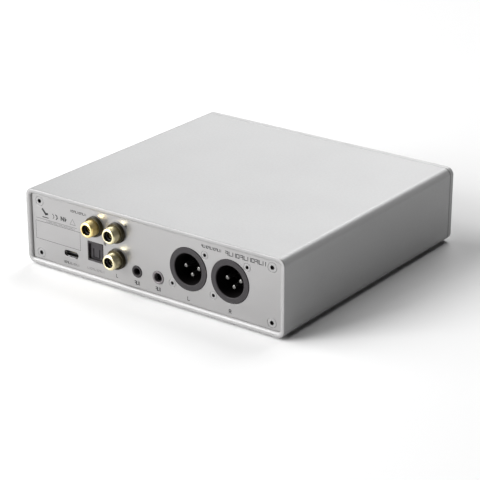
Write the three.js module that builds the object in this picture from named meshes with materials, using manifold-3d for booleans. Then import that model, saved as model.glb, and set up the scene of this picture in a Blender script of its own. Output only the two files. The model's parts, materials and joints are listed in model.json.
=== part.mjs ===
// Desktop digital-to-analogue audio converter.
// Millimetres, +Z up. The connectors face +Y (the rear) and the volume knob faces -Y (the front).
// The origin lies on the resting surface, under the middle of the overall outline.

import * as THREE from 'three';
import { mergeVertices } from 'three/addons/utils/BufferGeometryUtils.js';
import Module from 'manifold-3d';

// ---------------------------------------------------------------- driving dimensions

const GAP = 0.3; // clearance between neighbouring pieces
const PAST = 1; // how far a cutter runs past the face that it cuts

// Sides of a round piece, by its size
const SIDES_LARGE = 32;
const SIDES_MEDIUM = 20;
const SIDES_SMALL = 12;

// Case
const CASE_W = 160;
const CASE_D = 153.2;
const CASE_H = 40.4;
const CORNER_R = 4;
const WALL = 2.75;
const EDGE_CHAMFER = 0.4;
const REAR_LIP = 1.1; // flat rim left at the rear mouth, outside its rounded inner edge
const MOUTH_STEPS = 4;
const FOOT_H = 1;
const FOOT_R = 6;
const FOOT_INSET_X = 14;
const FOOT_INSET_Y = 14;

// End plates
const FASCIA_T = 3;
const BRACKET_T = 2;
const PANEL_T = 2;
const PANEL_INSET = 1.35;
const PLATE_R = 1; // corner radius of the two plates inside the sleeve

// Screw bosses and board ledges inside the sleeve
const BOSS_X = 72.1;
const BOSS_Z = 14.05;
const BOSS_R = 3.3;
const LEDGE_T = 1.2;
const LEDGE_X = { inner: 66, lowerOuter: 70, upperOuter: 71.5 }; // the outer ends lie inside the bosses

// Screws: head radius, shank radius, length, socket radius across its corners
const CASE_SCREW = { head: 2.5, shank: 1.45, length: 11, socket: 1.15 };
const XLR_SCREW = { head: 2, shank: 1.15, length: 10, socket: 0.95 };
const HEAD_RIM = 0.2;
const HEAD_T = 1.5;
const SOCKET_DEPTH = 1.2;

// Main board
const BOARD_TOP = 8.4; // above the underside of the case
const BOARD_T = 1.6;
const BOARD_W = 136.6;
const BOARD_FRONT_INSET = 18; // from the fascia's front face
const COMPONENT_GAP = 0.1;

// Components on the main board: width, depth and height, and centre in X and Y
const CHIPS = {
  dac_chip: { size: [10, 10, 1.4], at: [-20, 14] },
  usb_receiver_chip: { size: [12, 12, 1.2], at: [44, 34] },
  clock_oscillator: { size: [7, 5, 1.6], at: [22, 30] },
  output_relay: { size: [14, 9, 6], at: [-44, 38] },
};
const CAPACITOR = { radius: 4, height: 11, edge: 0.3, x: [-8, 8], y: -20 };

// Connector centres: X in the part's frame, z above the underside of the case
const XLR_AT = { left: [-22.9, 20.9], right: [-47.8, 20.9] };
const RCA_AT = { coaxial: [35.5, 29.1], right: [21.5, 29.1], left: [21.5, 15.2] };
const OPTICAL_AT = [35.6, 15.15];
const USB_AT = [51.75, 10.1];
const JACK_35_AT = [9, 11.5];
const JACK_44_AT = [-4.2, 11.7];

// XLR
const XLR = { ring: 11.1, bore: 8.1, proud: 0.4, cup: 13, depth: 22, halfWidth: 11.9, top: 11.4 };
const XLR_PIN = { radius: 1.2, circle: 3.93, recess: 3, end: 21 };
const XLR_SCREW_X = 9.9;
const XLR_SCREW_Z = 9.75;

// RCA
const RCA = { collar: 5.2, proud: 2, half: 6.5, depth: 14, core: 3.2, coreOut: 5.3, slot: 9 };
const RCA_SHELL = { outer: 4.1, inner: 3.5, out: 6.9, in: 8.7 };
const RCA_NOSE = { width: 1.3, length: 1.4, mouth: 2.45, lip: 0.4, steps: 4 }; // rounded front of the shell
const RCA_CONTACT = { outer: 2, inner: 1.65, out: 3.7, in: 10.6, blind: 8 };
const RCA_MOUTH_R = 1.8; // opening in the core, in front of the contact

// Optical socket
const OPTICAL = { w: 10, h: 10.4, proud: 0.3, depth: 16, port: 8.4, portDepth: 12.5 };
const SHUTTER = { w: 8, t: 0.8, top: 3.8, bottom: -4, pivotY: -1.3, pivotZ: 3.5 };
const TRUNNION_R = 0.45;
const LENS = { radius: 1.3, length: 3.1 };

// USB-C socket
const USB = { w: 8.94, h: 3.16, wall: 0.3, recess: 0.8, depth: 8.4 };
const USB_TONGUE = { w: 6.7, t: 0.7, recess: 1.8 };

// Headphone jacks
const JACK_35 = { ring: 3.1, bore: 1.8, halfWidth: 3.6, bottom: -2.95, top: 3.3, depth: 14.5 };
const JACK_44 = { ring: 3.45, bore: 2.25, halfWidth: 4.2, bottom: -3.15, top: 3.7, depth: 20 };
const JACK_PROUD = 0.3;

// Front controls
const WINDOW_X = -26;
const WINDOW = { w: 60, h: 20, t: 1.2, r: 2 };
const OPENING = { w: 54, h: 16, r: 1 };
const KNOB_X = 50;
const KNOB = { radius: 14, length: 12, gap: 1, edge: 0.6, backEdge: 0.3, skirt: 12.4, hub: 6, pocket: 3 };
const POINTER = { halfWidth: 0.6, depth: 0.5, from: 7.7, to: 12.5 }; // groove in the knob's face
const SHAFT = { radius: 3, out: 9, in: 8.2 };
const PLUNGER = { radius: 2.9, from: 8.5, to: 9.9 };
const ENCODER = { half: 6.2, from: 5.6, to: 12.2, neck: 4.4, bore: 3.3, boreEnd: 10.9 };
const FRONT_BOARD_Y = [12.5, 14.1]; // behind the fascia's front face
const FRONT_BOARD_X = [-58, 60];
const FRONT_BOARD_Z = [-10, 13];
const RIBBON = { half: 7, t: 0.3, fromZ: -4, steps: 18 };
const DISPLAY_DEPTH = 8; // the display module's back, behind the fascia's front face

// ---------------------------------------------------------------- places worked out from those

const RCA_REACH = RCA_SHELL.out - PANEL_INSET;
const KNOB_REACH = KNOB.gap + KNOB.length;
const CASE_Y = (KNOB_REACH - RCA_REACH) / 2; // centres the overall outline on the origin
const REAR_Y = CASE_Y + CASE_D / 2;
const FRONT_Y = CASE_Y - CASE_D / 2;
const PANEL_Y = REAR_Y - PANEL_INSET; // outer face of the rear panel
const SLEEVE_FRONT_Y = FRONT_Y + FASCIA_T + GAP;
const BOSS_FRONT_Y = SLEEVE_FRONT_Y + BRACKET_T + GAP;
const BOSS_REAR_Y = PANEL_Y - PANEL_T - GAP;
const MID_Z = FOOT_H + CASE_H / 2;
const BOARD_TOP_Z = FOOT_H + BOARD_TOP;
const BORE_W = CASE_W - 2 * WALL;
const BORE_H = CASE_H - 2 * WALL;
const BORE_R = CORNER_R - WALL;
const BEHIND_PANEL = -(PANEL_T + GAP); // local y of a connector body's front face
const BOSS_CORNERS = [[1, 1], [-1, 1], [-1, -1], [1, -1]];

// ---------------------------------------------------------------- materials

function finish(color, roughness, metalness) {
  return new THREE.MeshStandardMaterial({ color, roughness, metalness });
}

const SILVER = finish(0xd9d9da, 0.5, 0.35);
const BRACKET_METAL = finish(0xa9abad, 0.5, 0.8);
const SCREW_METAL = finish(0xbfc0c2, 0.35, 0.9);
const CHARCOAL = finish(0x48444a, 0.55, 0);
const BLACK_PLASTIC = finish(0x1b1a1a, 0.4, 0);
const GOLD = finish(0xe2c37a, 0.22, 1);
const PIN_METAL = finish(0xd8d6d2, 0.3, 1);
const STEEL = finish(0x8d8f92, 0.35, 1);
const JACK_METAL = finish(0x7c777b, 0.4, 0.7);
const RUBBER = finish(0x2a2a2b, 0.9, 0);
const BOARD_GREEN = finish(0x14402c, 0.5, 0);
const CHIP_BLACK = finish(0x222224, 0.6, 0);
const GLASS = finish(0x08090b, 0.08, 0);
const RIBBON_FILM = finish(0xc98a3a, 0.5, 0);
const CAN_SILVER = finish(0xc4c4c8, 0.35, 0.9);

// ---------------------------------------------------------------- solids

const wasm = await Module();
wasm.setup();

// A closed three.js geometry as a solid that can be joined and cut.
function solid(geometry) {
  geometry.deleteAttribute('normal');
  geometry.deleteAttribute('uv');
  const welded = mergeVertices(geometry);
  return new wasm.Manifold(new wasm.Mesh({
    numProp: 3,
    vertProperties: new Float32Array(welded.attributes.position.array),
    triVerts: new Uint32Array(welded.index.array),
  }));
}

function geometryOf(body) {
  const { vertProperties, triVerts } = body.getMesh();
  const geometry = new THREE.BufferGeometry();
  geometry.setAttribute('position', new THREE.BufferAttribute(vertProperties, 3));
  geometry.setIndex(new THREE.BufferAttribute(triVerts, 1));
  geometry.computeVertexNormals();
  return geometry;
}

function block([x0, x1], [y0, y1], [z0, z1]) {
  const box = new THREE.BoxGeometry(x1 - x0, y1 - y0, z1 - z0);
  return solid(box.translate((x0 + x1) / 2, (y0 + y1) / 2, (z0 + z1) / 2));
}

// A cylinder or cone along Y; the second radius is the one at y1.
function rodY([y0, y1], radius, x = 0, z = 0, sides = SIDES_MEDIUM, radiusAtEnd = radius) {
  const rod = new THREE.CylinderGeometry(radiusAtEnd, radius, y1 - y0, sides);
  return solid(rod.translate(x, (y0 + y1) / 2, z));
}

function rodX([x0, x1], radius, y, z, sides) {
  const rod = new THREE.CylinderGeometry(radius, radius, x1 - x0, sides).rotateZ(Math.PI / 2);
  return solid(rod.translate((x0 + x1) / 2, y, z));
}

// A solid turned about Y; the profile is a list of [radius, y] that runs outwards, then up.
function turned(profile, sides) {
  return solid(new THREE.LatheGeometry(profile.map(([r, y]) => new THREE.Vector2(r, y)), sides));
}

function roundedRect(width, height, radius) {
  const x = width / 2 - radius;
  const y = height / 2 - radius;
  const shape = new THREE.Shape();
  shape.absarc(x, y, radius, 0, Math.PI / 2);
  shape.absarc(-x, y, radius, Math.PI / 2, Math.PI);
  shape.absarc(-x, -y, radius, Math.PI, 1.5 * Math.PI);
  shape.absarc(x, -y, radius, 1.5 * Math.PI, 2 * Math.PI);
  return shape;
}

// An outline drawn in X and Z, extruded along Y from y0 to y1, with an optional edge chamfer.
function prism(shape, [y0, y1], { x = 0, z = 0, chamfer = 0, curveSegments = 2 } = {}) {
  const geometry = new THREE.ExtrudeGeometry(shape, {
    depth: y1 - y0 - 2 * chamfer,
    curveSegments,
    bevelEnabled: chamfer > 0,
    bevelThickness: chamfer,
    bevelSize: chamfer,
    bevelOffset: -chamfer,
    bevelSegments: 1,
  });
  return solid(geometry.rotateX(Math.PI / 2).translate(x, y1 - chamfer, z));
}

function joined(bodies) {
  return bodies.reduce((whole, body) => whole.add(body));
}

function cut(body, cutters) {
  return cutters.reduce((rest, cutter) => rest.subtract(cutter), body);
}

const dac = new THREE.Group();

function part(name, body, material, parent = dac) {
  const mesh = new THREE.Mesh(geometryOf(body), material);
  mesh.name = name;
  parent.add(mesh);
  return mesh;
}

// A group at a place in the part's frame, for pieces drawn about their own origin.
function place(x, y, z) {
  const group = new THREE.Group();
  group.position.set(x, y, z);
  dac.add(group);
  return group;
}

// The group of a rear connector: its origin is on the panel's outer face and +Y points out.
function atPanel([x, z]) {
  return place(x, PANEL_Y, FOOT_H + z);
}

// ---------------------------------------------------------------- screws

// Countersunk screw with its head's face at y = 0 and its shank towards -Y.
function screwBody({ head, shank, length, socket }) {
  const profile = [
    [0, -length],
    [shank, -length],
    [shank, -HEAD_T],
    [head, -HEAD_RIM],
    [head, 0],
    [0, 0],
  ];
  return turned(profile, SIDES_SMALL).subtract(rodY([-SOCKET_DEPTH, PAST], socket, 0, 0, 6));
}

// Clearance for such a screw through a plate whose outer face is at y = face.
function screwClearance({ head, shank }, face, x, z) {
  const depth = [face - HEAD_T, face + HEAD_RIM];
  const cone = rodY(depth, shank + GAP, x, z, SIDES_SMALL, head + HEAD_RIM + GAP);
  return cone.add(rodY([face - PANEL_T - PAST, face], shank + GAP, x, z, SIDES_SMALL));
}

// ---------------------------------------------------------------- case

// The span from near to far along X on one side (1 or -1) of the middle, lowest value first.
function mirrored(side, near, far) {
  return side > 0 ? [near, far] : [-far, -near];
}

// The bore's outline grown by some width, as points at that y.
function boreRing(grow, y) {
  const outline = roundedRect(BORE_W + 2 * grow, BORE_H + 2 * grow, BORE_R + grow);
  return outline.getPoints(2).map((point) => [point.x, y, MID_Z + point.y]);
}

function sleeveBody() {
  const outline = roundedRect(CASE_W, CASE_H, CORNER_R);
  const bore = roundedRect(BORE_W, BORE_H, BORE_R);
  const tube = prism(outline, [SLEEVE_FRONT_Y, REAR_Y], {
    z: MID_Z,
    chamfer: EDGE_CHAMFER,
    curveSegments: 3,
  }).subtract(prism(bore, [SLEEVE_FRONT_Y - PAST, REAR_Y + PAST], { z: MID_Z }));

  // The rear mouth opens out from the bore over a rounded edge to a narrow rim.
  const rings = [];
  for (let step = 0; step <= MOUTH_STEPS; step++) {
    const turn = (Math.PI / 2) * (step / MOUTH_STEPS);
    rings.push(boreRing((WALL - REAR_LIP) * (1 - Math.cos(turn)), PANEL_Y + PANEL_INSET * Math.sin(turn)));
  }
  rings.push(boreRing(WALL - REAR_LIP, REAR_Y + PAST));
  const mouth = rings.slice(1).map((ring, i) => wasm.Manifold.hull([...rings[i], ...ring]));

  const inside = [];
  const holes = [];
  for (const [sx, sz] of BOSS_CORNERS) {
    const x = sx * BOSS_X;
    const z = MID_Z + sz * BOSS_Z;
    const wallZ = MID_Z + sz * (BORE_H / 2 + WALL / 2);
    const length = [BOSS_FRONT_Y, BOSS_REAR_Y];
    inside.push(rodY(length, BOSS_R, x, z, SIDES_MEDIUM));
    inside.push(block([x - BOSS_R, x + BOSS_R], length, [Math.min(z, wallZ), Math.max(z, wallZ)]));
    const radius = CASE_SCREW.shank + 0.2;
    const depth = CASE_SCREW.length + PAST;
    holes.push(rodY([BOSS_FRONT_Y - PAST, BOSS_FRONT_Y + depth], radius, x, z, SIDES_SMALL));
    holes.push(rodY([BOSS_REAR_Y - depth, BOSS_REAR_Y + PAST], radius, x, z, SIDES_SMALL));
  }

  // Ledges above and below the board's side edges.
  for (const side of [1, -1]) {
    const below = BOARD_TOP_Z - BOARD_T - GAP;
    const above = BOARD_TOP_Z + GAP;
    const length = [BOSS_FRONT_Y, BOSS_REAR_Y];
    const { inner, lowerOuter, upperOuter } = LEDGE_X;
    inside.push(block(mirrored(side, inner, lowerOuter), length, [below - LEDGE_T, below]));
    inside.push(block(mirrored(side, inner, upperOuter), length, [above, above + LEDGE_T]));
  }
  return cut(joined([cut(tube, mouth), ...inside]), holes);
}

function plateOutline() {
  return roundedRect(BORE_W - 2 * GAP, BORE_H - 2 * GAP, PLATE_R);
}

function rearPanelBody() {
  const face = PANEL_Y;
  const through = [PANEL_Y - PANEL_T - PAST, PANEL_Y + PAST];
  const hole = ([x, z], radius, sides) => rodY(through, radius, x, FOOT_H + z, sides);
  const slot = ([x, z], w, h, r) => prism(roundedRect(w, h, r), through, { x, z: FOOT_H + z });
  const cutters = [
    slot(OPTICAL_AT, OPTICAL.w + 2 * GAP, OPTICAL.h + 2 * GAP, 0.6),
    slot(USB_AT, USB.w + 2 * GAP, USB.h + 2 * GAP, USB.h / 2 + GAP - 0.05),
    hole(JACK_35_AT, JACK_35.ring + GAP, SIDES_MEDIUM),
    hole(JACK_44_AT, JACK_44.ring + GAP, SIDES_MEDIUM),
  ];
  for (const at of Object.values(RCA_AT)) {
    cutters.push(hole(at, RCA.collar + GAP, SIDES_MEDIUM));
  }
  for (const at of Object.values(XLR_AT)) {
    cutters.push(hole(at, XLR.ring + 0.2, SIDES_LARGE));
    for (const side of [1, -1]) {
      const x = at[0] - side * XLR_SCREW_X;
      const z = FOOT_H + at[1] + side * XLR_SCREW_Z;
      cutters.push(screwClearance(XLR_SCREW, face, x, z));
    }
  }
  for (const [sx, sz] of BOSS_CORNERS) {
    cutters.push(screwClearance(CASE_SCREW, face, sx * BOSS_X, MID_Z + sz * BOSS_Z));
  }
  return cut(prism(plateOutline(), [PANEL_Y - PANEL_T, PANEL_Y], { z: MID_Z }), cutters);
}

part('case_sleeve', sleeveBody(), SILVER);
part('rear_panel', rearPanelBody(), SILVER);

BOSS_CORNERS.forEach(([sx, sz], i) => {
  const screw = screwBody(CASE_SCREW);
  part(`rear_panel_screw_${i + 1}`, screw, SCREW_METAL, place(sx * BOSS_X, PANEL_Y, MID_Z + sz * BOSS_Z));
});

const FOOT_CORNERS = { rear_left: [1, 1], rear_right: [-1, 1], front_left: [-1, -1], front_right: [1, -1] };
for (const [corner, [sx, sy]] of Object.entries(FOOT_CORNERS)) {
  const profile = [[0, 0], [FOOT_R - 0.4, 0], [FOOT_R, 0.4], [FOOT_R, FOOT_H - 0.05], [0, FOOT_H - 0.05]];
  const foot = part(`foot_${corner}`, turned(profile, SIDES_MEDIUM).rotate([90, 0, 0]), RUBBER);
  foot.position.set(sx * (CASE_W / 2 - FOOT_INSET_X), CASE_Y + sy * (CASE_D / 2 - FOOT_INSET_Y), 0);
}

// ---------------------------------------------------------------- XLR outputs

function xlrHousingBody() {
  const ring = rodY([BEHIND_PANEL - PAST, XLR.proud], XLR.ring, 0, 0, SIDES_LARGE);
  const bottom = BOARD_TOP - XLR_AT.left[1] + GAP;
  const rear = block([-XLR.halfWidth, XLR.halfWidth], [-XLR.depth, BEHIND_PANEL], [bottom, XLR.top]);
  const cutters = [rodY([-XLR.cup, XLR.proud + PAST], XLR.bore, 0, 0, SIDES_LARGE)];
  for (const [x, z] of xlrPinPlaces()) {
    cutters.push(rodY([-XLR.depth - PAST, -XLR.cup + PAST], XLR_PIN.radius + GAP, x, z, SIDES_SMALL));
  }
  for (const side of [1, -1]) {
    const hole = [-XLR_SCREW.length - 1, BEHIND_PANEL + PAST];
    const [x, z] = [-side * XLR_SCREW_X, side * XLR_SCREW_Z];
    cutters.push(rodY(hole, XLR_SCREW.shank + GAP, x, z, SIDES_SMALL));
  }
  return cut(ring.add(rear), cutters);
}

// Two pins level with the centre and one below it.
function xlrPinPlaces() {
  return [[XLR_PIN.circle, 0], [-XLR_PIN.circle, 0], [0, -XLR_PIN.circle]];
}

function xlrPinBody() {
  const { radius, recess, end } = XLR_PIN;
  return turned([
    [0, -end],
    [radius, -end],
    [radius, -recess - 0.7],
    [radius * 0.5, -recess],
    [0, -recess],
  ], SIDES_SMALL);
}

for (const [channel, at] of Object.entries(XLR_AT)) {
  const group = atPanel(at);
  part(`xlr_${channel}_housing`, xlrHousingBody(), CHARCOAL, group);
  xlrPinPlaces().forEach(([x, z], i) => {
    part(`xlr_${channel}_pin_${i + 1}`, xlrPinBody(), PIN_METAL, group).position.set(x, 0, z);
  });
  [1, -1].forEach((side, i) => {
    const screw = part(`xlr_${channel}_screw_${i + 1}`, screwBody(XLR_SCREW), SCREW_METAL, group);
    screw.position.set(-side * XLR_SCREW_X, 0, side * XLR_SCREW_Z);
  });
}

// ---------------------------------------------------------------- RCA sockets

// Moulded body: block behind the panel, collar through it, and a core inside the metal shell.
function rcaBody() {
  const collar = rodY([BEHIND_PANEL - PAST, RCA.proud], RCA.collar, 0, 0, SIDES_MEDIUM);
  const rear = block([-RCA.half, RCA.half], [-RCA.depth, BEHIND_PANEL], [-RCA.half, RCA.half]);
  const slot = rodY([-RCA.slot, RCA.proud + PAST], RCA_SHELL.outer + GAP, 0, 0, SIDES_MEDIUM);
  const core = rodY([-RCA.slot - PAST, RCA.coreOut], RCA.core, 0, 0, SIDES_MEDIUM);
  const contactY = [-RCA_CONTACT.in - GAP, RCA_CONTACT.out + GAP];
  const contactHole = rodY(contactY, RCA_CONTACT.outer + GAP, 0, 0, SIDES_MEDIUM);
  const mouth = rodY([0, RCA.coreOut + PAST], RCA_MOUTH_R, 0, 0, SIDES_MEDIUM);
  return cut(collar.add(rear).subtract(slot).add(core), [contactHole, mouth]);
}

function rcaShellBody() {
  const { outer, inner, out } = RCA_SHELL;
  const { width, length, mouth, lip, steps } = RCA_NOSE;
  const profile = [[inner, -RCA_SHELL.in], [outer, -RCA_SHELL.in]];
  for (let step = 0; step <= steps; step++) {
    const turn = (Math.PI / 2) * (step / steps);
    profile.push([outer - width * (1 - Math.cos(turn)), out - length * (1 - Math.sin(turn))]);
  }
  profile.push([mouth, out], [mouth, out - lip], [inner, out - length], [inner, -RCA_SHELL.in]);
  return turned(profile, SIDES_MEDIUM);
}

function rcaContactBody() {
  const { outer, inner, out, blind } = RCA_CONTACT;
  return turned([
    [0, -RCA_CONTACT.in],
    [outer, -RCA_CONTACT.in],
    [outer, out],
    [inner, out],
    [inner, -blind],
    [0, -blind],
  ], SIDES_SMALL);
}

for (const [use, at] of Object.entries(RCA_AT)) {
  const group = atPanel(at);
  part(`rca_${use}_body`, rcaBody(), BLACK_PLASTIC, group);
  part(`rca_${use}_shell`, rcaShellBody(), GOLD, group);
  part(`rca_${use}_contact`, rcaContactBody(), GOLD, group);
}

// ---------------------------------------------------------------- optical input

function opticalHousingBody() {
  const { w, h, proud, depth, port, portDepth } = OPTICAL;
  const wallHole = rodX([-w, w], TRUNNION_R + 0.08, SHUTTER.pivotY, SHUTTER.pivotZ, SIDES_SMALL);
  const stand = block([-w / 2, w / 2], [-depth, BEHIND_PANEL], [BOARD_TOP - OPTICAL_AT[1] + GAP, 0]);
  const shell = block([-w / 2, w / 2], [-depth, proud], [-h / 2, h / 2]).add(stand);
  const cavity = prism(roundedRect(port, port, 0.8), [-portDepth, proud + PAST], { curveSegments: 1 });
  const lens = rodY([-portDepth - PAST, -portDepth + LENS.length], LENS.radius, 0, 0, SIDES_SMALL);
  return cut(shell, [cavity, wallHole]).add(lens);
}

function shutterBody() {
  const { w, t, top, bottom, pivotY, pivotZ } = SHUTTER;
  const flap = block([-w / 2, w / 2], [pivotY - t / 2, pivotY + t / 2], [bottom, top]);
  const reach = OPTICAL.w / 2 - 0.2;
  const trunnions = rodX([-reach, reach], TRUNNION_R, pivotY, pivotZ, SIDES_SMALL);
  return flap.add(trunnions);
}

const optical = atPanel(OPTICAL_AT);
part('optical_housing', opticalHousingBody(), CHARCOAL, optical);
part('optical_shutter', shutterBody(), CHARCOAL, optical);

// ---------------------------------------------------------------- USB-C input

function usbShellBody() {
  const { w, h, wall, recess, depth } = USB;
  const outer = prism(roundedRect(w, h, h / 2 - 0.05), [-depth, -recess]);
  const inner = roundedRect(w - 2 * wall, h - 2 * wall, h / 2 - wall - 0.05);
  return outer.subtract(prism(inner, [-depth - PAST, -recess + PAST]));
}

function usbTongueBody() {
  const clearW = USB.w / 2 - USB.wall - 1.4;
  const clearH = USB.h / 2 - USB.wall - 0.2;
  const base = block([-clearW, clearW], [-USB.depth + 0.2, -USB.depth + 2], [-clearH, clearH]);
  const { w, t, recess } = USB_TONGUE;
  return base.add(block([-w / 2, w / 2], [-USB.depth + 1, -recess], [-t / 2, t / 2]));
}

const usb = atPanel(USB_AT);
part('usb_c_shell', usbShellBody(), STEEL, usb);
part('usb_c_tongue', usbTongueBody(), BLACK_PLASTIC, usb);

// ---------------------------------------------------------------- headphone jacks

function jackRingBody({ ring, bore }) {
  const back = -PANEL_T + 0.1;
  return turned([
    [bore, back],
    [ring, back],
    [ring, JACK_PROUD],
    [bore + 0.3, JACK_PROUD],
    [bore, JACK_PROUD - 0.3],
    [bore, back],
  ], SIDES_MEDIUM);
}

function jackBody({ bore, halfWidth, bottom, top, depth }) {
  const shell = block([-halfWidth, halfWidth], [-depth, BEHIND_PANEL], [bottom, top]);
  return shell.subtract(rodY([-depth + 1.5, 0], bore, 0, 0, SIDES_MEDIUM));
}

const JACKS = [['jack_3_5', JACK_35_AT, JACK_35, CHARCOAL], ['jack_4_4', JACK_44_AT, JACK_44, JACK_METAL]];
for (const [name, at, size, ringMaterial] of JACKS) {
  const group = atPanel(at);
  part(`${name}_ring`, jackRingBody(size), ringMaterial, group);
  part(`${name}_body`, jackBody(size), BLACK_PLASTIC, group);
}

// ---------------------------------------------------------------- main board and what it carries

const MAIN_BOARD_Y = [FRONT_Y + BOARD_FRONT_INSET, PANEL_Y - PANEL_T - 0.5];
const mainBoard = block(
  [-BOARD_W / 2, BOARD_W / 2],
  MAIN_BOARD_Y,
  [BOARD_TOP_Z - BOARD_T, BOARD_TOP_Z],
);
part('main_board', mainBoard, BOARD_GREEN);

// A component standing on the main board, centred at x and y.
function onBoard(name, body, material, [x, y]) {
  part(name, body, material, place(x, y, BOARD_TOP_Z + COMPONENT_GAP));
}

function chipBody([w, d, h]) {
  return block([-w / 2, w / 2], [-d / 2, d / 2], [0, h]);
}

for (const [name, { size, at }] of Object.entries(CHIPS)) {
  onBoard(name, chipBody(size), name === 'clock_oscillator' ? CAN_SILVER : CHIP_BLACK, at);
}
CAPACITOR.x.forEach((x, i) => {
  const { radius, height, edge } = CAPACITOR;
  const profile = [[0, 0], [radius, 0], [radius, height - edge], [radius - edge, height], [0, height]];
  const can = turned(profile, SIDES_SMALL).rotate([90, 0, 0]);
  onBoard(`filter_capacitor_${i + 1}`, can, CAN_SILVER, [x, CAPACITOR.y]);
});

// ---------------------------------------------------------------- front

const front = place(0, FRONT_Y, MID_Z);

function fasciaBody() {
  const plate = prism(roundedRect(CASE_W, CASE_H, CORNER_R), [0, FASCIA_T], {
    chamfer: EDGE_CHAMFER,
    curveSegments: 3,
  });
  const pocketOutline = roundedRect(WINDOW.w, WINDOW.h, WINDOW.r);
  return cut(plate, [
    prism(pocketOutline, [-PAST, WINDOW.t + GAP], { x: WINDOW_X }),
    prism(roundedRect(OPENING.w, OPENING.h, OPENING.r), [-PAST, FASCIA_T + PAST], { x: WINDOW_X }),
    rodY([-PAST, FASCIA_T + PAST], SHAFT.radius + GAP, KNOB_X, 0, SIDES_MEDIUM),
  ]);
}

const BRACKET_Y = [FASCIA_T + GAP, FASCIA_T + GAP + BRACKET_T];

// Screws go in from the front here, so their clearance is turned round.
function bracketBody() {
  const face = BRACKET_Y[0];
  const cutters = BOSS_CORNERS.map(([sx, sz]) => {
    const towardsFront = screwClearance(CASE_SCREW, 0, 0, 0).rotate([180, 0, 0]);
    return towardsFront.translate([sx * BOSS_X, face, sz * BOSS_Z]);
  });
  const through = [face - PAST, BRACKET_Y[1] + PAST];
  cutters.push(prism(roundedRect(OPENING.w, OPENING.h, OPENING.r), through, { x: WINDOW_X }));
  cutters.push(rodY(through, ENCODER.neck + GAP, KNOB_X, 0, SIDES_MEDIUM));
  return cut(prism(plateOutline(), BRACKET_Y), cutters);
}

part('front_fascia', fasciaBody(), SILVER, front);
part('front_bracket', bracketBody(), BRACKET_METAL, front);
BOSS_CORNERS.forEach(([sx, sz], i) => {
  const screw = part(`front_bracket_screw_${i + 1}`, screwBody(CASE_SCREW), SCREW_METAL, front);
  screw.position.set(sx * BOSS_X, BRACKET_Y[0], sz * BOSS_Z);
  screw.rotation.x = Math.PI;
});

const windowOutline = roundedRect(WINDOW.w - 2 * GAP, WINDOW.h - 2 * GAP, WINDOW.r - GAP);
part('display_window', prism(windowOutline, [0, WINDOW.t], { x: WINDOW_X }), GLASS, front);
const moduleOutline = roundedRect(OPENING.w - 2 * GAP, OPENING.h - 2 * GAP, OPENING.r);
const displayModule = prism(moduleOutline, [WINDOW.t + GAP, DISPLAY_DEPTH], { x: WINDOW_X });
part('display_module', displayModule, CHIP_BLACK, front);

const frontBoard = block(FRONT_BOARD_X, FRONT_BOARD_Y, FRONT_BOARD_Z);
part('front_board', frontBoard, BOARD_GREEN, front);

// Flat flexible cable from the front board's rear face down to the main board.
function ribbonBody() {
  const { half, t, fromZ, steps } = RIBBON;
  const toZ = BOARD_TOP_Z - MID_Z + GAP + 0.2;
  const start = FRONT_BOARD_Y[1] + GAP;
  const path = new THREE.CatmullRomCurve3([
    new THREE.Vector3(0, start, fromZ),
    new THREE.Vector3(0, start + 3, fromZ + 0.4),
    new THREE.Vector3(0, start + 5.5, fromZ - 2),
    new THREE.Vector3(0, start + 8, toZ + 0.4),
    new THREE.Vector3(0, start + 12, toZ),
  ]);
  const section = new THREE.Shape([
    new THREE.Vector2(-half, -t / 2),
    new THREE.Vector2(half, -t / 2),
    new THREE.Vector2(half, t / 2),
    new THREE.Vector2(-half, t / 2),
  ]);
  return solid(new THREE.ExtrudeGeometry(section, { extrudePath: path, steps }));
}

part('ribbon_cable', ribbonBody(), RIBBON_FILM, front);

// ---------------------------------------------------------------- volume control

const control = new THREE.Group();
control.position.set(KNOB_X, 0, 0);
front.add(control);

function encoderBody() {
  const { half, from, to, neck, bore, boreEnd } = ENCODER;
  const housing = block([-half, half], [from, to], [-half, half]);
  const neckRod = rodY([BRACKET_Y[0] + 0.1, from + PAST], neck, 0, 0, SIDES_MEDIUM);
  return housing.add(neckRod).subtract(rodY([0, boreEnd], bore, 0, 0, SIDES_MEDIUM));
}

function knobBody() {
  const { radius, length, gap, edge, backEdge, skirt, hub, pocket } = KNOB;
  const tip = -gap - length;
  const back = -gap;
  const bore = SHAFT.radius + GAP;
  const body = turned([
    [0, tip],
    [radius - edge, tip],
    [radius, tip + edge],
    [radius, back - backEdge],
    [radius - backEdge, back],
    [skirt, back],
    [skirt, back - pocket],
    [hub, back - pocket],
    [hub, back],
    [bore, back],
    [bore, -SHAFT.out - GAP],
    [0, -SHAFT.out - GAP],
  ], SIDES_LARGE);
  const { halfWidth, depth, from, to } = POINTER;
  const pointer = block([-halfWidth, halfWidth], [tip - PAST, tip + depth], [from, to]);
  return body.subtract(pointer);
}

part('encoder_housing', encoderBody(), BLACK_PLASTIC, control);
part('encoder_plunger', rodY([PLUNGER.from, PLUNGER.to], PLUNGER.radius), STEEL, control);
part('encoder_shaft', rodY([-SHAFT.out, SHAFT.in], SHAFT.radius), STEEL, control);
part('volume_knob', knobBody(), SILVER, control);

export default dac;
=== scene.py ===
import json
import math
from collections import namedtuple

import bmesh
import bpy
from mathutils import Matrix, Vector
from mathutils.geometry import tessellate_polygon


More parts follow.
